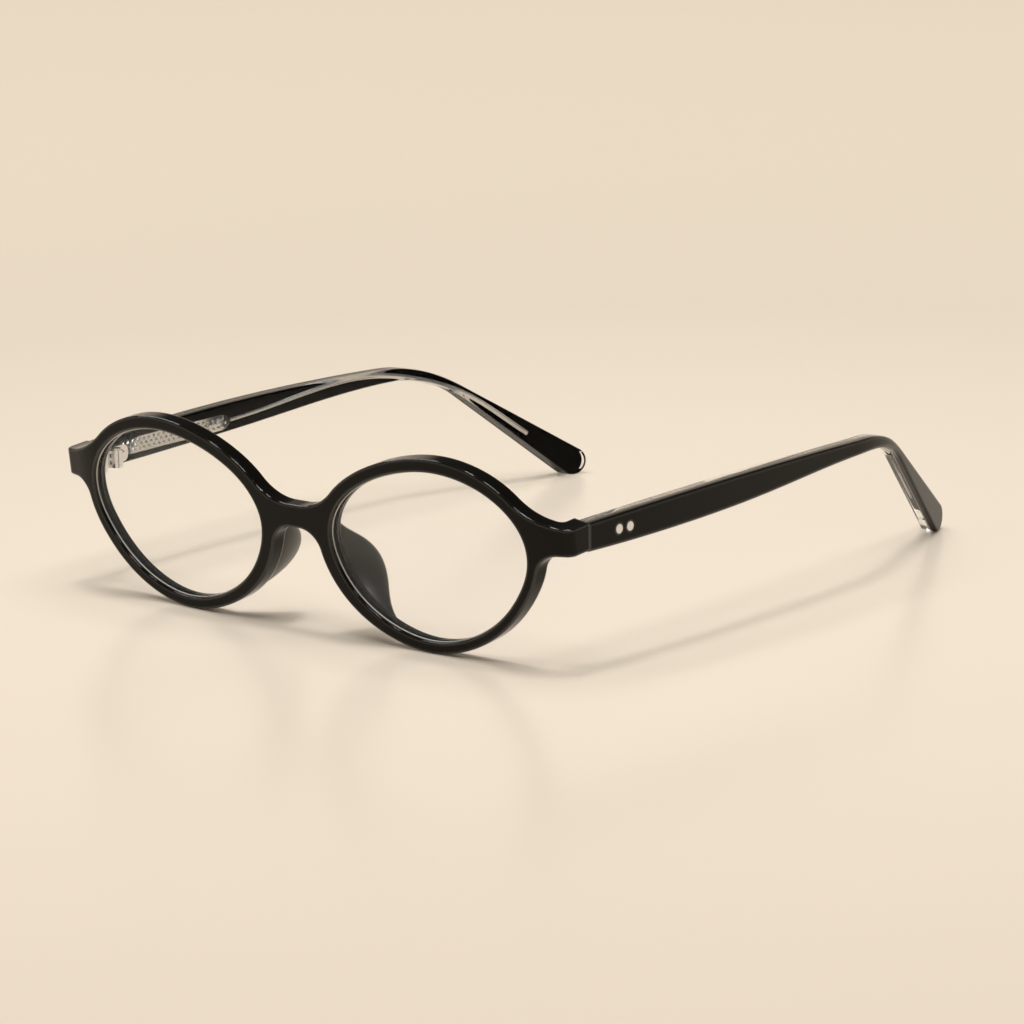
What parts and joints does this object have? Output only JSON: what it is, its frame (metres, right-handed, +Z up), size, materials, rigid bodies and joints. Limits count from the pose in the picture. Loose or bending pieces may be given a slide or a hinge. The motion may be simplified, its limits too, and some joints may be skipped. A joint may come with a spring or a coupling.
{
  "type": "oval eyeglasses",
  "caption": "Oval eyeglasses with a glossy dark front, clear lenses, built-up nose pads and laminated temples that fold on screw hinges.",
  "frame": {"origin": "middle of the footprint of the open glasses, on the surface that the rims and the temple tips rest on", "axes": "+X towards the wearer's left temple, +Y back along the temples from the front to the ear ends, +Z up from the surface"},
  "size_m": [0.135, 0.1474, 0.0393],
  "materials": {
    "black_acetate": "polished, rounded edges",
    "clear_acetate": "clear, polished",
    "clear_lens": "clear, uncoated",
    "hinge_steel": "plated, bright",
    "core_metal": "satin, with a fine knurled pattern on the head",
    "polished_pin": "polished flush"
  },
  "bodies": {
    "front": {"front_frame": "black_acetate", "lens_left": "clear_lens", "lens_right": "clear_lens", "nose_pad_left": "black_acetate", "nose_pad_right": "black_acetate", "front_hinge_leaf_left": "hinge_steel", "front_hinge_leaf_right": "hinge_steel", "hinge_screw_left": "hinge_steel", "hinge_screw_right": "hinge_steel"},
    "temple_left": {"temple_outer_layer_left": "black_acetate", "temple_inner_layer_left": "clear_acetate", "temple_hinge_leaf_left": "hinge_steel", "core_wire_left": "core_metal", "front_pin_left": "polished_pin", "rear_pin_left": "polished_pin"},
    "temple_right": {"temple_outer_layer_right": "black_acetate", "temple_inner_layer_right": "clear_acetate", "temple_hinge_leaf_right": "hinge_steel", "core_wire_right": "core_metal", "front_pin_right": "polished_pin", "rear_pin_right": "polished_pin"}
  },
  "joints": [
    {"name": "left_hinge", "type": "hinge", "parent": "front", "child": "temple_left", "pos_m": [0.0595, -0.06055, 0.0255], "axis": [0, 0, 1], "range_deg": [0, 87]},
    {"name": "right_hinge", "type": "hinge", "parent": "front", "child": "temple_right", "pos_m": [-0.0595, -0.06055, 0.0255], "axis": [0, 0, -1], "range_deg": [0, 72]}
  ]
}
